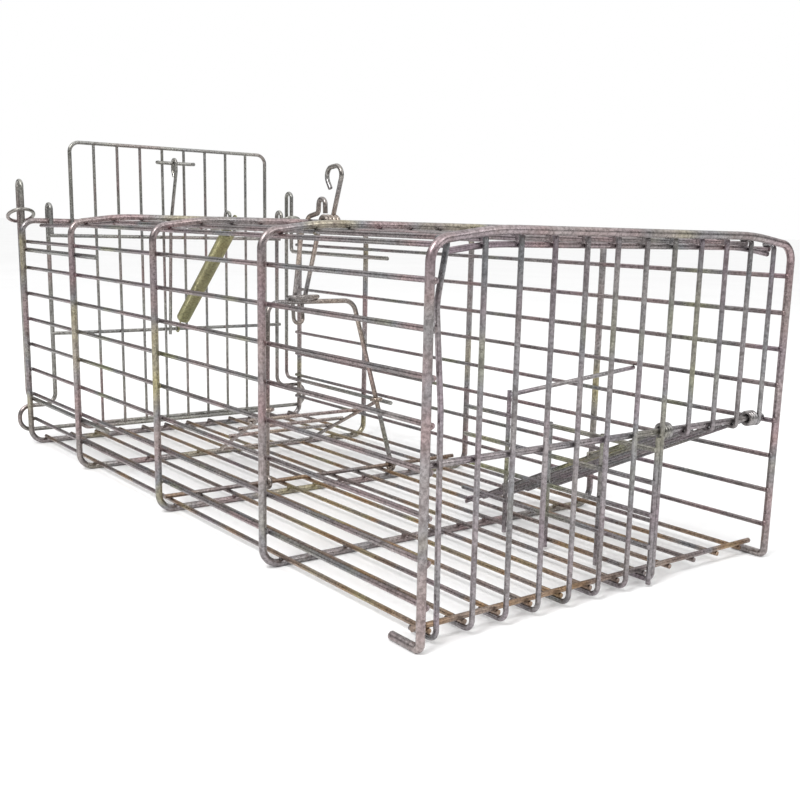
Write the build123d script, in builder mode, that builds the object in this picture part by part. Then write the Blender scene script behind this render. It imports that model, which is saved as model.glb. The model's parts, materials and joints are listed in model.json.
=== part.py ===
"""Wire live-capture cage trap with a one-way tunnel entrance and a spring-loaded rear door.

Millimetres, +X along the cage towards the tunnel entrance, +Y to the tunnel side, +Z up.
The origin is on the ground, at the centre of the cage's outline.
Every wire is its own round bar. Wires that cross lie in layers and touch along their sides,
as spot-welded wires do, and wires that turn about another one keep a running clearance.
"""
from build123d import *
from math import atan, atan2, cos, degrees, radians, sin, tan
import os

# ---- wire sizes -------------------------------------------------------------------------
hoop_wire = 3.8          # the five hoops that carry the mesh
mesh_wire = 2.4          # walls, roof, floor and front
bar_wire = 2.6           # cross bars and the rear panel's outline
door_wire = 3.0          # rear door frame, corner guards and bail
panel_wire = 2.0         # upright bars of the rear panel
hinge_bar_wire = 3.0     # bar across the front that carries the flap
rail_wire = 2.0          # side rails of the flap
flap_wire = 1.6          # tines and cross wires of the flap
lever_wire = 2.8         # trigger lever and hanger
rod_wire = 2.4           # setting rod and treadle
spring_wire = 1.2
running_gap = 0.4        # radial clearance where one wire turns about another
side_gap = 0.3           # clearance beside a moving wire
weld_sink = 0.25         # how far a butt-welded wire end sinks into its neighbour

# ---- cage -------------------------------------------------------------------------------
hoop_half_width = 112.0
hoop_top = 159.0
hoop_corner = 9.0
roof_crown = 4.5         # how far the first four hoops bow up over the middle of the roof
crown_knee = 80.0        # half the width of the level stretch, to the middle of its bends
crown_bend = 150.0
bay_lengths = (124.5, 119.0, 124.5, 97.0)   # hoop to hoop, from the front
side_pitch = 18.0
side_lowest = 18.6
side_count = 8
floor_pitch = 18.5
floor_count = 12
roof_pitch = 18.5
roof_count = 12
roof_stop = 10.0         # roof wires stop ahead of the rear hoop, where the panel passes
foot_length = 19.0       # the front hoop's feet, turned back along the ground
foot_bend = 2.6

# ---- rear corner guards -----------------------------------------------------------------
guard_reach = 15.5       # outer upright, behind the rear hoop
guard_width = 8.0        # between the two uprights
guard_top = 186.0
guard_upper = 138.9
guard_lower = 32.6
guard_inside = 134.0     # how far the legs run forward of the rear hoop
tie_radius = 8.6
tie_wire = 2.4
tie_tilt = 30.0
tie_height = 162.5

# ---- rear door --------------------------------------------------------------------------
door_half_width = 92.6
door_loop_top = 170.5
door_loop_end = 150.0
ear_reach = 118.6
ear_top = 27.6
ear_bottom = 10.2
ear_corner = 8.0
panel_half_width = 77.6
panel_bottom = 9.2
panel_top = 214.0
panel_corner = 7.0
panel_bars = 8
upper_bar_height = 149.0
middle_bar_height = 79.5
catch_height = 203.5
catch_half = 14.0
rod_tip_height = 76.0
rod_side = -6.5          # the setting rod hangs between two roof wires

# ---- spring -----------------------------------------------------------------------------
spring_outer = 10.0
spring_side = 2.2
spring_neck = 13.0       # from the hook's centre to the first coil

# ---- trigger ----------------------------------------------------------------------------
lever_side = -4.0        # the coil's first turn
lever_turns = 4
lever_lean = 21.0
lever_lower = 49.5
lever_upper = 35.5
crook_width = 23.0
crook_bend = 5.5
hanger_side = -12.6
bail_pivot_back = 6.0    # bail pivot wire, behind the middle hoop
bail_lean = 7.0
bail_height = 108.6
bail_foot_left = -39.5
bail_foot_right = 53.0
bail_top_left = -31.4
bail_top_right = 30.5
bail_corner = 8.0
catch_loop_left = -16.0
catch_loop_right = 3.0
catch_loop_depth = 10.0
catch_loop_wire = 2.6
bait_hook_side = -14.0
bait_hook_drop = 13.0
bait_hook_width = 6.5
treadle_joint = 44.0     # up the bail's legs
treadle_reach = 97.0     # far bar, behind the bail pivot
treadle_float = 0.6      # far bar, clear of the floor wires
treadle_left = -22.0
treadle_right = 50.0
treadle_wire_shares = (0.30, 0.50, 0.72)

# ---- front wall, tunnel and flap --------------------------------------------------------
front_pitch = 18.5
front_count = 12
full_front_wires = 8     # those that reach the floor; the rest stop at the hinge bar
front_leg_above = 6.0    # turned back over the roof wires
front_leg_below = 17.0   # turned back under the floor wires
stub_leg = 5.0           # turned back under the hinge bar
front_bend_above = 2.6
front_bend_below = 4.5
stub_bend = 2.0
floor_bar_back = 8.5     # floor cross bar, behind the front hoop
floor_bar_short = 2.0    # floor cross bar, short of the hoop's side
roof_bar_short = 12.0
hinge_bar_height = 74.0
tunnel_length = 138.0
tunnel_posts = (34.0, 70.0)      # from the front wires
tunnel_last_post = 102.0
tunnel_rail_pitch = 15.5
tunnel_rails = 4
flap_lean = 25.2         # degrees under the hinge
flap_length = 152.0
flap_tines = 5
flap_cross_pitch = 34.0
flap_cross_count = 5
flap_cross_first = 14.0
coil_turns = 3
coil_squeeze = 0.1       # how far neighbouring turns of one coil sink together

# ---- places worked out from the sizes above ---------------------------------------------
cage_length = sum(bay_lengths)
tie_reach = guard_reach - guard_width / 2 + tie_radius * cos(radians(tie_tilt)) + tie_wire / 2
rear_overhang = max(guard_reach + door_wire / 2, tie_reach)
outline_length = hoop_wire / 2 + cage_length + rear_overhang
front_x = outline_length / 2 - hoop_wire / 2
hoop_x = [front_x - sum(bay_lengths[:i]) for i in range(len(bay_lengths) + 1)]
middle_x = hoop_x[2]
spring_x = hoop_x[3]
rear_x = hoop_x[4]
hoop_bottom = hoop_wire / 2
layer = (hoop_wire + mesh_wire) / 2
side_y = hoop_half_width - layer
floor_z = hoop_bottom + layer
roof_z = hoop_top - layer
floor_bar_z = floor_z + (mesh_wire + bar_wire) / 2
knee_turn = atan(roof_crown / (hoop_half_width - crown_knee))
knee_reach = crown_bend * tan(knee_turn / 2)
roof_start = rear_x + roof_stop
roof_bend = 200.0


def crown_rise(y):
    """How far the bowed hoops stand above their corners, at y."""
    across = abs(y)
    bend_start = crown_knee - knee_reach
    if across <= bend_start:
        return roof_crown
    if across < crown_knee + knee_reach:
        return roof_crown - (across - bend_start) ** 2 / (2 * crown_bend)
    return (hoop_half_width - across) * tan(knee_turn)


def roof_height(x, y):
    """Height of a roof wire: level over the bowed hoops, then down to the flat rear hoop."""
    share = min(1.0, (x - roof_start) / (spring_x - roof_start))
    return roof_z + crown_rise(y) * share


def spread(count, pitch):
    """Places of evenly spaced wires about the middle."""
    return [(i - (count - 1) / 2) * pitch for i in range(count)]


def bent_wire(points, radii, diameter):
    """One round wire along straight runs joined by tangent bends."""
    with BuildPart() as wire:
        with BuildLine() as path:
            if len(points) == 2:
                Line(*points)
            else:
                FilletPolyline(*points, radius=radii)
        with BuildSketch(path.line ^ 0):
            Circle(diameter / 2)
        sweep()
    return wire.part


def closed_wire(points, radii, diameter):
    """One round wire bent to a closed outline."""
    with BuildPart() as wire:
        with BuildLine() as path:
            FilletPolyline(*points, radius=radii, close=True)
        with BuildSketch(path.line ^ 0):
            Circle(diameter / 2)
        sweep()
    return wire.part


def turned(solid, pivot, angle):
    """The solid, turned about the crosswise axis through the pivot; + tips its top forwards."""
    return solid.rotate(Axis(pivot, (0, 1, 0)), angle)


def finish(name, solids):
    """Puts a sub-part's solids under its name and writes its file."""
    with BuildPart() as node:
        add(solids)
    node.part.label = name
    export_step(node.part, f"parts/{name}.step")
    return node.part


def lengthwise(places, x_start, x_end, diameter):
    """Straight wires along the cage, one at each (y, z)."""
    with BuildPart() as wires:
        with BuildSketch(Plane.YZ.offset(x_start)):
            with Locations(*places):
                Circle(diameter / 2)
        extrude(amount=x_end - x_start)
    return wires.part


def crosswise(places, y_start, y_end, diameter):
    """Straight wires across the cage, one at each (x, z)."""
    with BuildPart() as wires:
        with BuildSketch(Plane.XZ.offset(-y_start)):
            with Locations(*places):
                Circle(diameter / 2)
        extrude(amount=-(y_end - y_start))
    return wires.part


def eye(centre, radius, diameter):
    """A closed wire eye whose axis runs across the cage."""
    return Plane(centre, x_dir=(1, 0, 0), z_dir=(0, 1, 0)) * Torus(radius, diameter / 2)


os.makedirs("parts", exist_ok=True)

# ---- hoops ------------------------------------------------------------------------------
w = hoop_half_width
crown_top = hoop_top + roof_crown
portal = [
    (front_x - foot_length, -w, hoop_bottom),
    (front_x, -w, hoop_bottom),
    (front_x, -w, hoop_top),
    (front_x, -crown_knee, crown_top),
    (front_x, crown_knee, crown_top),
    (front_x, w, hoop_top),
    (front_x, w, hoop_bottom),
    (front_x - foot_length, w, hoop_bottom),
]
portal_radii = [foot_bend, hoop_corner, crown_bend, crown_bend, hoop_corner, foot_bend]
finish("hoop_1_front", bent_wire(portal, portal_radii, hoop_wire))
for number, x in enumerate(hoop_x[1:-1], start=2):
    outline = [(x, -w, hoop_bottom), (x, w, hoop_bottom), (x, w, hoop_top),
               (x, crown_knee, crown_top), (x, -crown_knee, crown_top), (x, -w, hoop_top)]
    corners = [hoop_corner, hoop_corner, hoop_corner, crown_bend, crown_bend, hoop_corner]
    finish(f"hoop_{number}", closed_wire(outline, corners, hoop_wire))
rear_outline = [(rear_x, -w, hoop_bottom), (rear_x, w, hoop_bottom),
                (rear_x, w, hoop_top), (rear_x, -w, hoop_top)]
finish("hoop_5_rear", closed_wire(rear_outline, hoop_corner, hoop_wire))

# ---- mesh walls, roof and floor ---------------------------------------------------------
side_heights = [side_lowest + i * side_pitch for i in range(side_count)]
for side, name in ((-1, "side_wires_left"), (1, "side_wires_right")):
    finish(name, lengthwise([(side * side_y, z) for z in side_heights], rear_x, front_x, mesh_wire))
floor_y = spread(floor_count, floor_pitch)
front_wire_x = front_x - (hoop_wire + mesh_wire) / 2
floor_end = front_wire_x - front_bend_below
finish("floor_wires", lengthwise([(y, floor_z) for y in floor_y], rear_x, floor_end, mesh_wire))
roof_y = spread(roof_count, roof_pitch)
roof_end = front_wire_x - front_bend_above
roof_wires = []
for y in roof_y:
    run = [(roof_start, y, roof_z), (spring_x, y, roof_height(spring_x, y)),
           (roof_end, y, roof_height(roof_end, y))]
    roof_wires.append(bent_wire(run, roof_bend, mesh_wire))
finish("roof_wires", roof_wires)
floor_bar_x = front_x - floor_bar_back
floor_bar_half = w - floor_bar_short
finish("floor_front_bar", crosswise([(floor_bar_x, floor_bar_z)],
                                    -floor_bar_half, floor_bar_half, bar_wire))
roof_bar_x = front_wire_x - (mesh_wire + bar_wire) / 2
roof_bar_drop = (mesh_wire + bar_wire) / 2
roof_bar_run = [(roof_bar_x, y, roof_height(roof_bar_x, y) - roof_bar_drop)
                for y in (roof_bar_short - w, w - roof_bar_short)]
for side in (1, -1):
    roof_bar_run.insert(1, (roof_bar_x, side * crown_knee, roof_z + roof_crown - roof_bar_drop))
finish("roof_front_bar", bent_wire(roof_bar_run, crown_bend, bar_wire))

# ---- front wall -------------------------------------------------------------------------
hinge_bar_x = front_wire_x - (mesh_wire + hinge_bar_wire) / 2
front_leg_bottom = floor_z - mesh_wire
stub_z = hinge_bar_height - (hinge_bar_wire + mesh_wire) / 2
kink_y = -side_y + mesh_wire + 0.4
front_wires = []
for i, y in enumerate(spread(front_count, front_pitch)):
    full = i < full_front_wires
    end_z = front_leg_bottom if full else stub_z
    end_x = front_wire_x - (front_leg_below if full else stub_leg)
    leg_z = roof_height(front_wire_x, y) + mesh_wire
    top = [(front_wire_x - front_leg_above, y, leg_z), (front_wire_x, y, leg_z)]
    bottom = [(front_wire_x, y, end_z), (end_x, y, end_z)]
    radii = [front_bend_above, front_bend_below if full else stub_bend]
    if i == 0:
        bow = [(front_wire_x, kink_y, 135.6), (front_wire_x, y - 1.0, 96.0)]
        bow_radii = [radii[0], 30.0, 40.0, radii[1]]
        front_wires.append(bent_wire(top + bow + bottom, bow_radii, mesh_wire))
    else:
        front_wires.append(bent_wire(top + bottom, radii, mesh_wire))
finish("front_wires_full", front_wires[:full_front_wires])
finish("front_wires_short", front_wires[full_front_wires:])
hinge_bar_half = side_y - mesh_wire / 2 + weld_sink
finish("flap_hinge_bar", crosswise([(hinge_bar_x, hinge_bar_height)],
                                   -hinge_bar_half, hinge_bar_half, hinge_bar_wire))

# ---- tunnel wall ------------------------------------------------------------------------
jamb_y = spread(floor_count, floor_pitch)[7] - mesh_wire
tunnel_top = 66.5
post_x = [front_wire_x] + [front_wire_x - d for d in tunnel_posts]
posts = [((front_wire_x, jamb_y, 1.4), (front_wire_x, jamb_y, hinge_bar_height - 2.0))]
posts += [((x, jamb_y, 1.4), (x, jamb_y, tunnel_top + 1.2)) for x in post_x[1:]]
last_x = front_wire_x - tunnel_last_post
posts.append(((last_x, jamb_y, 1.4), (last_x, jamb_y, 79.5)))
finish("tunnel_posts", [bent_wire(p, None, mesh_wire) for p in posts])
rail_heights = [tunnel_top - i * tunnel_rail_pitch for i in range(tunnel_rails)]
finish("tunnel_rails", lengthwise([(jamb_y - mesh_wire, z) for z in rail_heights],
                                  front_x - tunnel_length, front_wire_x + 1.0, mesh_wire))
stop_near = (last_x + mesh_wire, jamb_y - 2.0, 77.6)
stop_far = (last_x + 12.0, side_y, side_heights[4] - mesh_wire)
finish("flap_stop_wire", bent_wire([stop_near, stop_far], None, mesh_wire))

# ---- one-way flap -----------------------------------------------------------------------
flap_pivot = (hinge_bar_x, 0, hinge_bar_height)
coil_radius = hinge_bar_wire / 2 + running_gap + rail_wire / 2
flap_coil_step = rail_wire - coil_squeeze
front_y = spread(front_count, front_pitch)
flap_left = front_y[7] + (mesh_wire + rail_wire) / 2 + side_gap
flap_right = front_y[11] - (mesh_wire + rail_wire) / 2 - side_gap


def flap_place(along, y, above=0.0):
    """A point of the flap: so far from the hinge, at y, so far above the rails."""
    a = radians(flap_lean)
    x = hinge_bar_x - along * cos(a) - above * sin(a)
    z = hinge_bar_height - along * sin(a) + above * cos(a)
    return (x, y, z)


for name, y, step in (("flap_rail_left", flap_left, 1), ("flap_rail_right", flap_right, -1)):
    rail = bent_wire([flap_place(coil_radius, y), flap_place(flap_length, y)], None, rail_wire)
    coil = [eye((hinge_bar_x, y + step * i * flap_coil_step, hinge_bar_height),
                coil_radius, rail_wire) for i in range(coil_turns)]
    finish(name, [rail] + coil)
tine_pitch = (flap_right - flap_left) / (flap_tines + 1)
tine_y = [flap_left + tine_pitch * (i + 1) for i in range(flap_tines)]
finish("flap_tines", [bent_wire([flap_place(flap_cross_first - 4, y), flap_place(flap_length - 2, y)],
                                None, flap_wire) for y in tine_y])
cross_lift = (rail_wire + flap_wire) / 2
cross_places = [flap_cross_first + i * flap_cross_pitch for i in range(flap_cross_count)]
finish("flap_cross_wires", [bent_wire([flap_place(s, flap_left - 1.0, cross_lift),
                                       flap_place(s, flap_right + 1.0, cross_lift)],
                                      None, flap_wire) for s in cross_places])

# ---- rear corner guards and their ties --------------------------------------------------
guard_y = hoop_half_width - (hoop_wire + door_wire) / 2
outer_x = rear_x - guard_reach
inner_x = outer_x + guard_width
for side, name in ((-1, "left"), (1, "right")):
    y = side * guard_y
    guard = [
        (rear_x + guard_inside - 4.0, y, guard_upper),
        (inner_x, y, guard_upper),
        (inner_x, y, guard_top),
        (outer_x, y, guard_top),
        (outer_x, y, guard_lower),
        (rear_x + guard_inside + 4.0, y, guard_lower),
    ]
    finish(f"corner_guard_{name}", bent_wire(guard, [3.6, 3.9, 3.9, 6.0], door_wire))
    tie_plane = Plane(((outer_x + inner_x) / 2, y, tie_height), x_dir=(0, 1, 0),
                      z_dir=(-sin(radians(tie_tilt)), 0, cos(radians(tie_tilt))))
    finish(f"corner_tie_{name}", tie_plane * Torus(tie_radius, tie_wire / 2))

# ---- rear door --------------------------------------------------------------------------
loop_reach = hoop_wire / 2 + side_gap + door_wire / 2
loop_in = rear_x + loop_reach
loop_out = rear_x - loop_reach
half = door_half_width
frame_half = [
    (loop_in, half, door_loop_end),
    (loop_in, half, door_loop_top),
    (loop_out, half, door_loop_top),
    (loop_out, half, ear_top),
    (loop_out, ear_reach, ear_top),
    (loop_out, ear_reach, ear_bottom),
]
frame_points = frame_half + [(x, -y, z) for x, y, z in reversed(frame_half)]
bend = loop_reach - 0.1
frame_radii = [bend, bend, ear_corner, ear_corner, ear_corner]
finish("door_frame", bent_wire(frame_points, frame_radii + frame_radii[::-1], door_wire))

panel_x = rear_x + hoop_wire / 2 + side_gap + bar_wire / 2
p = panel_half_width
panel_outline = [(panel_x, -p, panel_bottom), (panel_x, p, panel_bottom),
                 (panel_x, p, panel_top), (panel_x, -p, panel_top)]
finish("door_panel_frame", closed_wire(panel_outline, panel_corner, bar_wire))
panel_pitch = 2 * p / (panel_bars + 1)
bar_low = panel_bottom + bar_wire / 2 - weld_sink
bar_high = panel_top - bar_wire / 2 + weld_sink
with BuildPart() as door_panel_bars:
    with BuildSketch(Plane.XY.offset(bar_low)):
        with Locations(*[(panel_x, y) for y in spread(panel_bars, panel_pitch)]):
            Circle(panel_wire / 2)
    extrude(amount=bar_high - bar_low)
finish("door_panel_bars", door_panel_bars.part)

bar_x = panel_x - bar_wire
bar_end_x = loop_out + (door_wire + bar_wire) / 2
for name, z in (("door_upper_bar", upper_bar_height), ("door_middle_bar", middle_bar_height)):
    run = [(bar_end_x, half + 1.5, z), (bar_end_x, half - 3.0, z), (bar_x, p + 2.0, z)]
    points = run + [(x, -y, z) for x, y, z in reversed(run)]
    finish(name, bent_wire(points, 4.0, bar_wire))

catch_x = panel_x + (panel_wire + bar_wire) / 2
catch = [(catch_x + 3.5, -catch_half, catch_height), (catch_x, -catch_half, catch_height),
         (catch_x, catch_half, catch_height), (catch_x + 3.5, catch_half, catch_height)]
finish("door_catch_bar", bent_wire(catch, 1.6, bar_wire))

# ---- setting rod, hung on the catch bar -------------------------------------------------
hook_radius = bar_wire / 2 + running_gap + rod_wire / 2
hook_top = catch_height + hook_radius
hook_inner = catch_x + hook_radius
hook_outer = catch_x - hook_radius
rod_points = [
    (hook_outer + 2.0, 0, catch_height - 9.5),
    (hook_outer, 0, catch_height - 5.0),
    (hook_outer, 0, hook_top),
    (hook_inner, 0, hook_top),
    (hook_inner, 0, catch_height - 6.0),
    (hook_inner, rod_side + 1.5, hoop_top),
    (hook_inner - 2.0, rod_side, rod_tip_height),
]
rod_radii = [1.5, hook_radius - 0.1, hook_radius - 0.1, 8.0, 60.0]
finish("setting_rod", bent_wire(rod_points, rod_radii, rod_wire))

# ---- door spring ------------------------------------------------------------------------
spring_top = Vector(spring_x, spring_side, crown_top)
spring_low = Vector(bar_x, spring_side, middle_bar_height)
spring_axis = (spring_low - spring_top).normalized()
spring_span = (spring_low - spring_top).length
spring_tilt = degrees(atan2(-spring_axis.Z, -spring_axis.X))


def along_spring(distance, above=0.0):
    """A point so far down the spring from the upper hook, and so far above its axis."""
    a = radians(spring_tilt)
    return (spring_top.X - distance * cos(a) - above * sin(a), spring_side,
            spring_top.Z - distance * sin(a) + above * cos(a))


coil_start = spring_neck
coil_end = spring_span - spring_neck
coil_plane = Plane(along_spring(coil_start), x_dir=(0, 1, 0), z_dir=tuple(spring_axis))
with BuildPart() as spring_coil:
    with BuildSketch(coil_plane):
        Circle(spring_outer / 2)
        Circle(spring_outer / 2 - spring_wire, mode=Mode.SUBTRACT)
    extrude(amount=coil_end - coil_start)
finish("spring_coil", spring_coil.part)
hook_wire_radius = spring_wire / 2
for name, centre, wire, sign in (("spring_upper_hook", 0.0, hoop_wire, 1),
                                 ("spring_lower_hook", spring_span, bar_wire, -1)):
    eye_radius = wire / 2 + running_gap + hook_wire_radius
    edge = spring_outer / 2 - hook_wire_radius
    start = centre + sign * eye_radius
    stem = bent_wire([along_spring(start), along_spring(centre + sign * (spring_neck - 6.5)),
                      along_spring(centre + sign * (spring_neck - 2.0), edge),
                      along_spring(centre + sign * spring_neck, edge)], 1.2, spring_wire)
    finish(name, [eye(along_spring(centre), eye_radius, spring_wire), stem])

# ---- trigger lever and hanger on the middle hoop ----------------------------------------
lever_eye = hoop_wire / 2 + running_gap + lever_wire / 2
lever_tilt = radians(lever_lean)
tangent_x = -lever_eye * cos(lever_tilt)
tangent_z = lever_eye * sin(lever_tilt)
lever_coil_step = lever_wire - coil_squeeze
stem_side = lever_side + (lever_turns - 1) * lever_coil_step


def about_middle(dx, y, dz):
    """A point beside the middle hoop's top bar."""
    return (middle_x + dx, y, crown_top + dz)


def along_lever(distance, y):
    """A point of the lever: so far up it from where it leaves the coil."""
    dx = tangent_x + distance * sin(lever_tilt)
    dz = tangent_z + distance * cos(lever_tilt)
    return about_middle(dx, y, dz)


lever_top = along_lever(lever_upper, stem_side)
crook = [
    along_lever(0.0, stem_side),
    lever_top,
    (lever_top[0] - crook_width, stem_side, lever_top[2] - 2.5),
    (lever_top[0] - crook_width + 8.0, stem_side, lever_top[2] - 14.0),
]
lever_solids = [
    bent_wire([along_lever(-lever_lower, lever_side), along_lever(0.0, lever_side)], None, lever_wire),
    bent_wire(crook, [crook_bend, crook_bend], lever_wire),
]
for i in range(lever_turns):
    turn_side = lever_side + i * lever_coil_step
    lever_solids.append(eye(about_middle(0, turn_side, 0), lever_eye, lever_wire))
finish("trigger_lever", lever_solids)

hanger = [about_middle(dx, hanger_side, dz) for dx, dz in (
    (-19.2, -45.0), (-11.5, -6.5), (-2.5, 3.6), (7.6, 5.6), (8.4, 13.8), (14.9, 13.4), (15.3, 5.5))]
finish("trigger_hanger", bent_wire(hanger, [14.0, 6.0, 2.2, 3.1, 3.1], lever_wire))

# ---- bail, treadle and their pivot wire -------------------------------------------------
bail_x = middle_x - bail_pivot_back
bail_pivot = (bail_x, 0, floor_bar_z)
finish("bail_pivot_wire", crosswise([(bail_x, floor_bar_z)], -w + 6, w - 6, bar_wire))
bail_eye = bar_wire / 2 + running_gap + door_wire / 2
bail_z = floor_bar_z + bail_height
bail_points = [
    (bail_x, bail_foot_left, floor_bar_z + bail_eye),
    (bail_x, bail_top_left, bail_z),
    (bail_x, bail_top_right, bail_z),
    (bail_x, bail_foot_right, floor_bar_z + bail_eye),
]
bail_solids = [bent_wire(bail_points, bail_corner, door_wire)]
for y in (bail_foot_left, bail_foot_right):
    bail_solids.append(eye((bail_x, y, floor_bar_z), bail_eye, door_wire))
finish("bail", [turned(s, bail_pivot, -bail_lean) for s in bail_solids])

loop_z = bail_z + (door_wire + catch_loop_wire) / 2
loop_half = catch_loop_depth / 2
loop_points = [
    (bail_x - loop_half, catch_loop_left, loop_z), (bail_x + loop_half, catch_loop_left, loop_z),
    (bail_x + loop_half, catch_loop_right, loop_z), (bail_x - loop_half, catch_loop_right, loop_z),
]
catch_loop = closed_wire(loop_points, loop_half - 0.4, catch_loop_wire)
finish("bail_catch_loop", turned(catch_loop, bail_pivot, -bail_lean))
bait_top = bail_z - door_wire / 2 + weld_sink
bait_points = [
    (bail_x, bait_hook_side, bait_top), (bail_x, bait_hook_side, bail_z - bait_hook_drop),
    (bail_x, bait_hook_side + bait_hook_width, bail_z - bait_hook_drop),
    (bail_x, bait_hook_side + bait_hook_width, bait_top),
]
bait_hook = bent_wire(bait_points, bait_hook_width / 2 - 0.1, rod_wire)
finish("bait_hook", turned(bait_hook, bail_pivot, -bail_lean))

lean = radians(bail_lean)
joint_x = bail_x - treadle_joint * sin(lean)
joint_z = floor_bar_z + treadle_joint * cos(lean)
share = (treadle_joint - bail_eye) / (bail_height - bail_eye)
joint_left = bail_foot_left + (bail_top_left - bail_foot_left) * share
joint_right = bail_foot_right + (bail_top_right - bail_foot_right) * share
ring_radius = door_wire / 2 + running_gap + rod_wire / 2
far_x = bail_x - treadle_reach
far_z = floor_z + (mesh_wire + rod_wire) / 2 + treadle_float
treadle_points = [
    (joint_x, joint_right + ring_radius, joint_z),
    (joint_x - 6.0, joint_right + ring_radius, joint_z - 3.2),
    (far_x, treadle_right, far_z),
    (far_x, treadle_left, far_z),
    (joint_x - 6.0, joint_left + ring_radius, joint_z - 3.2),
    (joint_x, joint_left + ring_radius, joint_z),
]
treadle_solids = [bent_wire(treadle_points, [3.0, 4.0, 4.0, 3.0], rod_wire)]
for y in (joint_left, joint_right):
    ring_plane = Plane((joint_x, y, joint_z), x_dir=(0, 1, 0), z_dir=(-sin(lean), 0, cos(lean)))
    treadle_solids.append(ring_plane * Torus(ring_radius, rod_wire / 2))
finish("treadle_frame", treadle_solids)


def on_treadle(share_up, y_share, lift):
    """A point over the treadle: its share of the way up, and of the way from left to right."""
    x = far_x + (joint_x - 6.0 - far_x) * share_up
    z = far_z + (joint_z - 3.2 - far_z) * share_up
    left = treadle_left + (joint_left + ring_radius - treadle_left) * share_up
    right = treadle_right + (joint_right + ring_radius - treadle_right) * share_up
    slope = atan2(joint_z - 3.2 - far_z, joint_x - 6.0 - far_x)
    return (x - lift * sin(slope), left + (right - left) * y_share, z + lift * cos(slope))


finish("treadle_wires", [bent_wire([on_treadle(s, -0.03, rod_wire), on_treadle(s, 1.03, rod_wire)],
                                   None, rod_wire) for s in treadle_wire_shares])

# ---- keeper for the setting rod, on the roof --------------------------------------------
keeper_x = spring_x - 30.0
keeper_y = roof_y[roof_count // 2] + mesh_wire
keeper_z = roof_height(keeper_x, roof_y[roof_count // 2])
keeper = [(keeper_x + dx, keeper_y, keeper_z + dz)
          for dx, dz in ((-5.0, 0.0), (-1.5, 10.5), (4.5, 9.0), (4.0, 3.2))]
finish("rod_keeper", bent_wire(keeper, 2.4, mesh_wire))
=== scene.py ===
import json
import math
import random

import bmesh
import bpy
from mathutils import Matrix, Vector


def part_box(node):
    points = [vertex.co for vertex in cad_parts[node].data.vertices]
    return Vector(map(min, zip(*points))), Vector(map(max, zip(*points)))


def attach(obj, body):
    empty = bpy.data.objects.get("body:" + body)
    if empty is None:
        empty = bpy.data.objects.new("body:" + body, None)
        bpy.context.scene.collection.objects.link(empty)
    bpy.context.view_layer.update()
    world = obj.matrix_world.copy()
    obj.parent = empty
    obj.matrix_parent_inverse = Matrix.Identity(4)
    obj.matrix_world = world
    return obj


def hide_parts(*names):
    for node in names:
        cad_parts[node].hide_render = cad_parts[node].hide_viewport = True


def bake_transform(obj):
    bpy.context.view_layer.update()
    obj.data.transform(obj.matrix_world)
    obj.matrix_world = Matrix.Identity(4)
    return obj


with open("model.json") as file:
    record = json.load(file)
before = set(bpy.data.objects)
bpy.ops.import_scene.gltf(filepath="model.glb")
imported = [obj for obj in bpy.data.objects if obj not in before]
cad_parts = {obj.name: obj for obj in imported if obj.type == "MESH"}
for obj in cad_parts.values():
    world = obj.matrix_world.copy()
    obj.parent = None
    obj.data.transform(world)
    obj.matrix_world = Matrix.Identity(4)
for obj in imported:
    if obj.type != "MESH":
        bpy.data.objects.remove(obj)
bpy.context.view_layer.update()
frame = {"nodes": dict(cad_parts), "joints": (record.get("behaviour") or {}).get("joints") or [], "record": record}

nodes = frame["nodes"]
hoop_r = 0.0019          # hoop wire, half its thickness
mesh_r = 0.0012          # mesh wire, half its thickness
spring_wire = 0.0012
joints = {j["name"]: j for j in frame["joints"]}


# ---- materials --------------------------------------------------------------------------
class Nodes:
    """Short calls for building one material's node tree."""

    def __init__(self, name):
        self.material = bpy.data.materials.new(name)
        self.material.use_nodes = True
        self.tree = self.material.node_tree
        self.shader = self.tree.nodes["Principled BSDF"]
        coords = self.tree.nodes.new("ShaderNodeTexCoord")
        self.place = coords.outputs["Object"]

    def link(self, a, b):
        self.tree.links.new(a, b)

    def noise(self, scale, detail=4.0, rough=0.55):
        n = self.tree.nodes.new("ShaderNodeTexNoise")
        n.inputs["Scale"].default_value = scale
        n.inputs["Detail"].default_value = detail
        n.inputs["Roughness"].default_value = rough
        self.link(self.place, n.inputs["Vector"])
        return n.outputs["Fac"]

    def ramp(self, fac, stops):
        r = self.tree.nodes.new("ShaderNodeValToRGB")
        while len(r.color_ramp.elements) < len(stops):
            r.color_ramp.elements.new(0.5)
        for e, (at, colour) in zip(r.color_ramp.elements, stops):
            e.position = at
            e.color = (*colour, 1.0)
        self.link(fac, r.inputs["Fac"])
        return r.outputs["Color"]

    def mix(self, fac, a, b, kind="MIX"):
        m = self.tree.nodes.new("ShaderNodeMix")
        m.data_type = "RGBA"
        m.blend_type = kind
        for socket, value in ((m.inputs[0], fac), (m.inputs[6], a), (m.inputs[7], b)):
            if isinstance(value, (int, float)):
                socket.default_value = value
            elif isinstance(value, tuple):
                socket.default_value = (*value, 1.0)
            else:
                self.link(value, socket)
        return m.outputs[2]

    def spread(self, fac, low, high):
        m = self.tree.nodes.new("ShaderNodeMapRange")
        m.inputs["From Min"].default_value = 0.3
        m.inputs["From Max"].default_value = 0.7
        m.inputs["To Min"].default_value = low
        m.inputs["To Max"].default_value = high
        self.link(fac, m.inputs["Value"])
        return m.outputs["Result"]

    def bump(self, height, distance, strength):
        b = self.tree.nodes.new("ShaderNodeBump")
        b.inputs["Distance"].default_value = distance
        b.inputs["Strength"].default_value = strength
        self.link(height, b.inputs["Height"])
        self.link(b.outputs["Normal"], self.shader.inputs["Normal"])


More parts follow.
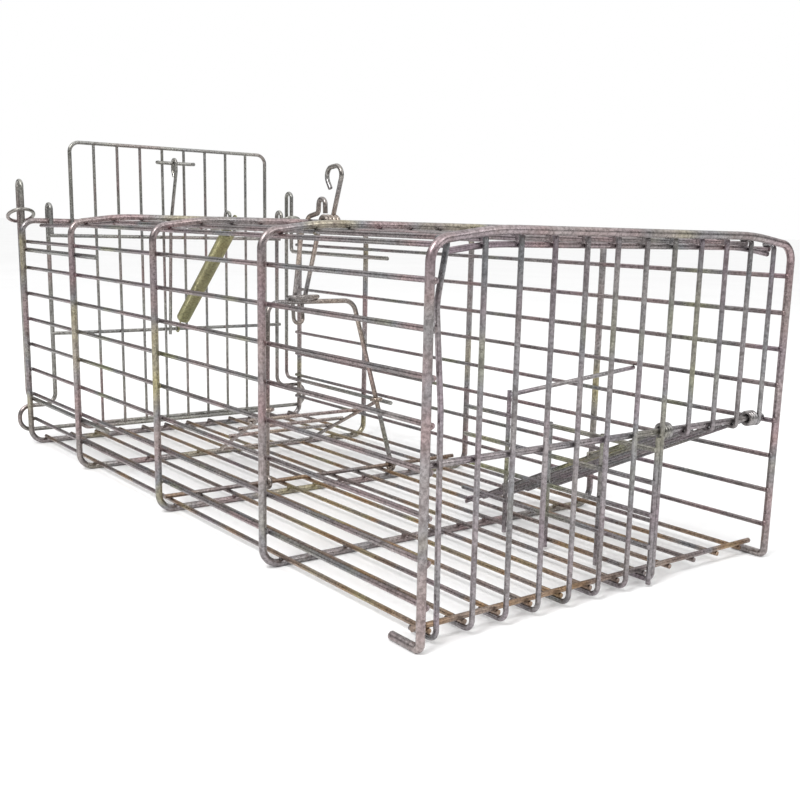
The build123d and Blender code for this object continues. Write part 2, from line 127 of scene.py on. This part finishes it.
def zinc(name, body, tints, grime, rough=0.34):
    """Passivated zinc on drawn wire: cloudy base, drifting interference tints, grime and draw marks."""
    n = Nodes(name)
    clouds = n.ramp(n.noise(40.0, 2.0), [(0.30, body[0]), (0.55, body[1]), (0.78, body[2])])
    drift = n.noise(18.0, 2.0, 0.4)
    tint = n.ramp(drift, tints)
    where = n.spread(n.noise(30.0, 2.0), 0.05, 0.9)
    colour = n.mix(where, clouds, tint)
    speck = n.ramp(n.noise(700.0, 3.0, 0.6), [(0.36, (0.44, 0.425, 0.415)), (0.62, (0.80, 0.785, 0.77))])
    colour = n.mix(1.0, colour, speck, "MULTIPLY")
    dirt = n.ramp(n.noise(130.0, 6.0, 0.72), [(0.56, (0.0, 0.0, 0.0)), (0.74, (1.0, 1.0, 1.0))])
    colour = n.mix(dirt, colour, grime)
    n.link(colour, n.shader.inputs["Base Color"])
    n.shader.inputs["Metallic"].default_value = 0.9
    gloss = n.spread(n.noise(260.0, 5.0, 0.65), rough - 0.09, rough + 0.14)
    n.link(gloss, n.shader.inputs["Roughness"])
    n.bump(n.noise(1300.0, 5.0, 0.65), 0.00006, 0.4)
    return n.material


rose = (0.50, 0.36, 0.37)
straw = (0.60, 0.55, 0.30)
olive = (0.44, 0.46, 0.26)
slate = (0.33, 0.35, 0.38)
mauve = (0.40, 0.32, 0.38)
tan = (0.55, 0.44, 0.33)
orange = (0.55, 0.34, 0.16)
drift_tints = [(0.30, mauve), (0.42, rose), (0.52, slate), (0.62, straw), (0.74, slate)]
looks = {
    "hoop_zinc": zinc("hoop_zinc", [(0.34, 0.31, 0.31), (0.48, 0.44, 0.43), (0.62, 0.57, 0.55)],
                      drift_tints, (0.13, 0.10, 0.09), 0.28),
    "mesh_zinc": zinc("mesh_zinc", [(0.24, 0.225, 0.23), (0.36, 0.335, 0.335), (0.52, 0.48, 0.48)],
                      [(0.32, mauve), (0.46, rose), (0.58, slate), (0.70, olive)], (0.08, 0.065, 0.06), 0.28),
    "floor_zinc": zinc("floor_zinc", [(0.27, 0.21, 0.19), (0.39, 0.31, 0.28), (0.54, 0.46, 0.41)],
                       [(0.30, mauve), (0.44, slate), (0.56, orange), (0.66, straw), (0.76, slate)],
                       (0.12, 0.07, 0.045), 0.30),
    "front_zinc": zinc("front_zinc", [(0.30, 0.285, 0.29), (0.42, 0.40, 0.40), (0.58, 0.55, 0.54)],
                       [(0.34, slate), (0.46, mauve), (0.58, slate), (0.68, olive), (0.78, straw)],
                       (0.11, 0.09, 0.085), 0.28),
    "door_zinc": zinc("door_zinc", [(0.34, 0.34, 0.33), (0.48, 0.48, 0.46), (0.62, 0.62, 0.59)],
                      [(0.34, slate), (0.50, (0.46, 0.47, 0.42)), (0.64, rose), (0.76, slate)],
                      (0.13, 0.12, 0.11), 0.28),
    "trigger_zinc": zinc("trigger_zinc", [(0.40, 0.36, 0.35), (0.54, 0.49, 0.47), (0.68, 0.62, 0.59)],
                         [(0.34, rose), (0.48, tan), (0.60, slate), (0.72, (0.48, 0.49, 0.40))],
                         (0.16, 0.13, 0.12), 0.25),
    "spring_steel": zinc("spring_steel", [(0.26, 0.26, 0.16), (0.40, 0.40, 0.24), (0.54, 0.54, 0.35)],
                         [(0.36, olive), (0.50, straw), (0.66, (0.34, 0.35, 0.24))],
                         (0.11, 0.10, 0.06), 0.34),
}
weld_look = zinc("weld_zinc", [(0.18, 0.15, 0.14), (0.30, 0.26, 0.25), (0.44, 0.39, 0.37)],
                 drift_tints, (0.07, 0.05, 0.045), 0.38)

slot_of = {s["node"]: s["material_slot"] for s in frame["record"]["subparts"]}
for name, obj in nodes.items():
    obj.data.materials.clear()
    obj.data.materials.append(looks[slot_of[name]])
    for polygon in obj.data.polygons:
        polygon.material_index = 0


# ---- the spring's real coil -------------------------------------------------------------
def add_mesh(name, verts, faces, material):
    mesh = bpy.data.meshes.new(name)
    mesh.from_pydata(verts, [], faces)
    mesh.update()
    for polygon in mesh.polygons:
        polygon.use_smooth = True
    obj = bpy.data.objects.new(name, mesh)
    bpy.context.scene.collection.objects.link(obj)
    mesh.materials.append(material)
    return obj


def centre_of(name):
    low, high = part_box(name)
    return (low + high) / 2, high - low


slide = joints["spring_draw"]
axis = Vector(slide["axis"]).normalized()
coil_mid, coil_size = centre_of("spring_coil")
coil_across = coil_size.y
coil_long = (coil_size.x - coil_across * abs(axis.z)) / abs(axis.x)
coil_spacing = 1.04      # from turn to turn, in wire thicknesses
turns = int(coil_long / (spring_wire * coil_spacing))
mean_radius = coil_across / 2 - spring_wire / 2
side = Vector((0, 1, 0))
other = axis.cross(side)
start = coil_mid - axis * (coil_long - spring_wire) / 2
verts, faces = [], []
per_turn = 20            # places round one turn
ring = 8                 # corners round the wire
steps = turns * per_turn
for i in range(steps + 1):
    a = 2 * math.pi * i / per_turn
    out = side * math.cos(a) + other * math.sin(a)
    at = start + axis * (coil_long - spring_wire) * i / steps + out * mean_radius
    for k in range(ring):
        b = 2 * math.pi * k / ring
        verts.append(at + out * (spring_wire / 2 * math.cos(b)) + axis * (spring_wire / 2 * math.sin(b)))
for i in range(steps):
    for k in range(ring):
        a, b = i * ring + k, i * ring + (k + 1) % ring
        faces.append((a, b, b + ring, a + ring))
faces.append(tuple(range(ring)))
faces.append(tuple(steps * ring + k for k in reversed(range(ring))))
coil = add_mesh("spring_helix", verts, faces, looks["spring_steel"])
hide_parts("spring_coil")
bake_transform(coil)


# ---- weld nuggets where wires cross -----------------------------------------------------
def solids_of(name):
    """Each loose wire of a CAD node as its lowest and highest corner."""
    bm = bmesh.new()
    bm.from_mesh(nodes[name].data)
    bmesh.ops.remove_doubles(bm, verts=bm.verts, dist=1e-6)
    seen, found = set(), []
    for v in bm.verts:
        if v.index in seen:
            continue
        stack, group = [v], []
        seen.add(v.index)
        while stack:
            u = stack.pop()
            group.append(u.co)
            for e in u.link_edges:
                w = e.other_vert(u)
                if w.index not in seen:
                    seen.add(w.index)
                    stack.append(w)
        low = Vector([min(c[k] for c in group) for k in range(3)])
        high = Vector([max(c[k] for c in group) for k in range(3)])
        found.append((low, high))
    bm.free()
    return found


def nuggets(name, places, body, radius=0.00125):
    """One piece holding a small squashed bead at each crossing."""
    rng = random.Random(7)
    bm = bmesh.new()
    for at, thin in places:
        size = [radius * rng.uniform(1.0, 1.35) for _ in range(3)]
        size[thin] = radius * rng.uniform(0.75, 0.9)
        shift = Vector([rng.uniform(-0.0002, 0.0002) for _ in range(3)])
        shift[thin] = 0.0
        m = Matrix.Translation(at + shift) @ Matrix.Diagonal((*size, 1.0))
        bmesh.ops.create_icosphere(bm, subdivisions=2, radius=1.0, matrix=m)
    mesh = bpy.data.meshes.new(name)
    bm.to_mesh(mesh)
    bm.free()
    for polygon in mesh.polygons:
        polygon.use_smooth = True
    obj = bpy.data.objects.new(name, mesh)
    bpy.context.scene.collection.objects.link(obj)
    mesh.materials.append(weld_look)
    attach(obj, body)
    return obj


hoops = [n for n in sorted(nodes) if n.startswith("hoop_")]
hoop_x = {n: centre_of(n)[0].x for n in hoops}
hoop_x["hoop_1_front"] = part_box("hoop_1_front")[1].x - hoop_r
end_slack = 0.001        # a wire that ends this near a hoop still meets it
side_places, flat_places = [], []
for wall in ("side_wires_left", "side_wires_right"):
    for low, high in solids_of(wall):
        mid = (low + high) / 2
        outward = math.copysign(mesh_r, mid.y)
        for x in hoop_x.values():
            side_places.append((Vector((x, mid.y + outward, mid.z)), 1))
for sheet, sign in (("floor_wires", -1), ("roof_wires", 1)):
    for low, high in solids_of(sheet):
        mid = (low + high) / 2
        for n, x in hoop_x.items():
            reaches = low.x - end_slack < x < high.x + end_slack
            if reaches and not (n == "hoop_1_front" and sign < 0):
                flat_places.append((Vector((x, mid.y, mid.z + sign * mesh_r)), 2))
nuggets("welds_walls", side_places, "cage")
nuggets("welds_floor_roof", flat_places, "cage")

thin_bead = 0.0011       # beads on the flap and the door
rail_inset = 0.001
panel_bead_back = 0.0012
cross_places = []
flap_cross = solids_of("flap_cross_wires")
tines = solids_of("flap_tines")
tine_ys = [((low + high) / 2).y for low, high in tines]
for low, high in flap_cross:
    mid = (low + high) / 2
    for y in tine_ys + [low.y + rail_inset, high.y - rail_inset]:
        cross_places.append((Vector((mid.x, y, mid.z - mesh_r)), 2))
nuggets("welds_flap", cross_places, "flap", thin_bead)

door_places = []
panel_x = centre_of("door_panel_bars")[0].x
for bar in ("door_upper_bar", "door_middle_bar"):
    z = centre_of(bar)[0].z
    for low, high in solids_of("door_panel_bars"):
        y = ((low + high) / 2).y
        door_places.append((Vector((panel_x - panel_bead_back, y, z)), 0))
nuggets("welds_door", door_places, "door", thin_bead)

# ---- floor, light and camera ------------------------------------------------------------
floor_mesh = bpy.data.meshes.new("floor")
reach = 30.0
corners = [(-reach, -reach, 0), (reach, -reach, 0), (reach, reach, 0), (-reach, reach, 0)]
floor_mesh.from_pydata(corners, [], [(0, 1, 2, 3)])
floor = bpy.data.objects.new("floor", floor_mesh)
bpy.context.scene.collection.objects.link(floor)
paper = Nodes("paper")
paper.shader.inputs["Roughness"].default_value = 0.9
paper.shader.inputs["Specular IOR Level"].default_value = 0.1
pale = paper.ramp(paper.noise(3.0, 2.0), [(0.3, (0.93, 0.93, 0.93)), (0.7, (0.96, 0.96, 0.96))])
paper.link(pale, paper.shader.inputs["Base Color"])
floor_mesh.materials.append(paper.material)

world = bpy.data.worlds.new("studio")
bpy.context.scene.world = world
world.use_nodes = True
tree = world.node_tree
background = tree.nodes["Background"]
background.inputs["Strength"].default_value = 1.0
coords = tree.nodes.new("ShaderNodeTexCoord")
split = tree.nodes.new("ShaderNodeSeparateXYZ")
tree.links.new(coords.outputs["Generated"], split.inputs["Vector"])
sky = tree.nodes.new("ShaderNodeMapRange")
sky.inputs["From Min"].default_value = -1.0
tree.links.new(split.outputs["Z"], sky.inputs["Value"])
bands = tree.nodes.new("ShaderNodeValToRGB")
levels = [(0.0, 0.75), (0.47, 0.62), (0.53, 0.16), (0.66, 0.20), (0.76, 1.15), (1.0, 1.5)]
while len(bands.color_ramp.elements) < len(levels):
    bands.color_ramp.elements.new(0.5)
for element, (at, level) in zip(bands.color_ramp.elements, levels):
    element.position = at
    element.color = (level, level, level, 1.0)
tree.links.new(sky.outputs["Result"], bands.inputs["Fac"])
path = tree.nodes.new("ShaderNodeLightPath")
tone = tree.nodes.new("ShaderNodeMix")
tone.data_type = "RGBA"
tree.links.new(path.outputs["Is Glossy Ray"], tone.inputs[0])
tree.links.new(bands.outputs["Color"], tone.inputs[7])
tone.inputs[6].default_value = (1.0, 1.0, 1.0, 1.0)
tree.links.new(tone.outputs[2], background.inputs["Color"])


def area_light(name, place, target, size, power, colour=(1, 1, 1)):
    data = bpy.data.lights.new(name, "AREA")
    data.shape = "DISK"
    data.size = size
    data.energy = power
    data.color = colour
    obj = bpy.data.objects.new(name, data)
    bpy.context.scene.collection.objects.link(obj)
    obj.location = place
    obj.rotation_euler = (Vector(target) - Vector(place)).to_track_quat("-Z", "Y").to_euler()
    return obj


area_light("key", (0.5, -1.0, 1.3), (0, 0, 0.08), 0.5, 14.0)
area_light("fill", (1.3, 0.5, 0.8), (0, 0, 0.08), 0.8, 4.0)

azimuth, pitch, roll = (math.radians(v) for v in (141.33, -11.54, 1.67))
forward = Vector((math.cos(azimuth) * math.cos(pitch),
                  math.sin(azimuth) * math.cos(pitch),
                  math.sin(pitch)))
level = forward.cross(Vector((0, 0, 1))).normalized()
upright = level.cross(forward)
right = level * math.cos(roll) + upright * math.sin(roll)
up = upright * math.cos(roll) - level * math.sin(roll)
camera_data = bpy.data.cameras.new("camera")
camera_data.lens = 47.57
camera_data.sensor_width = 36.0
camera_data.shift_x = -0.05
camera_data.shift_y = 0.05
camera_data.clip_start = 0.01
camera_data.dof.use_dof = False
camera = bpy.data.objects.new("camera", camera_data)
bpy.context.scene.collection.objects.link(camera)
rotation = Matrix((right, up, -forward)).transposed().to_4x4()
eye_ahead, eye_side, eye_height = 0.3055, -0.3496, 0.1648   # from the front hoop
eye = Vector((hoop_x["hoop_1_front"] + eye_ahead, eye_side, eye_height))
camera.matrix_world = Matrix.Translation(eye) @ rotation
bpy.context.scene.camera = camera
bpy.context.scene.view_settings.view_transform = "Standard"
